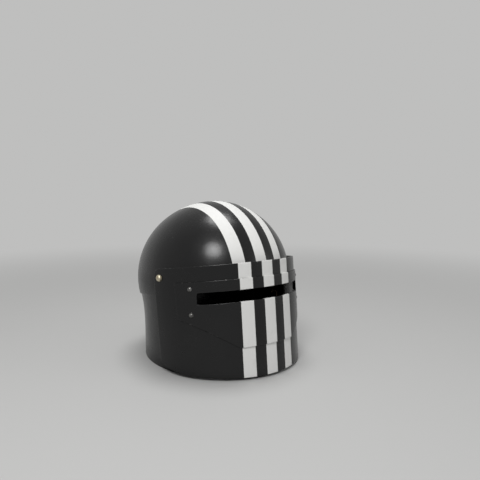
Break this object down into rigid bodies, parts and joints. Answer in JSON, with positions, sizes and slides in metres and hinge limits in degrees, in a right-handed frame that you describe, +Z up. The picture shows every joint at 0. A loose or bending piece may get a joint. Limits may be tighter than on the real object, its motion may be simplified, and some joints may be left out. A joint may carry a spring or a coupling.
{
  "type": "closed helmet",
  "caption": "Closed steel helmet with an egg-shaped skull, a level rim and a wrap-round visor with an eye slot that lifts on two temple bolts, with a leather lining and a chin strap.",
  "frame": {"origin": "middle of the footprint, on the level rim's plane", "axes": "+Z up, the face looks along -Y, +X to the wearer's left"},
  "size_m": [0.2372, 0.2834, 0.2374],
  "materials": {
    "black_enamel": "satin black enamel with three white stripes on the skull and visor",
    "bare_steel": "bare steel",
    "brass": "dull brass",
    "leather": "waxed brown leather",
    "padding": "quilted linen over felt"
  },
  "bodies": {
    "shell": {"skull_dome": "black_enamel", "back_plate": "black_enamel", "chin_plate": "black_enamel", "skull_rivets": "black_enamel", "side_rivets": "black_enamel", "pivot_sleeves": "bare_steel", "liner_band": "leather", "liner_tongues": "leather", "crown_lace": "leather", "liner_rivets": "black_enamel", "brow_pad": "padding", "nape_pad": "padding", "side_pad_left": "padding", "side_pad_right": "padding", "strap_long": "leather", "strap_short": "leather", "strap_rivets": "black_enamel", "strap_washers": "bare_steel", "strap_keeper": "leather", "buckle_frame": "bare_steel"},
    "visor": {"visor_plate": "black_enamel", "sight_plate": "black_enamel", "sight_rivets": "bare_steel", "pivot_bolts": "brass", "taper_washers": "brass", "pivot_washers": "bare_steel", "pivot_nuts": "bare_steel"},
    "buckle_pin": {"buckle_tongue": "bare_steel"}
  },
  "joints": [
    {"name": "visor_tilt", "type": "hinge", "parent": "shell", "child": "visor", "pos_m": [0, -0.03056, 0.13314], "axis": [-1, 0, 0], "range_deg": [0, 60]},
    {"name": "buckle_tongue_swing", "type": "hinge", "parent": "shell", "child": "buckle_pin", "pos_m": [-0.09714, -0.02792, 0.03], "axis": [0.1744, -0.9847, 0], "range_deg": [0, 90]}
  ]
}
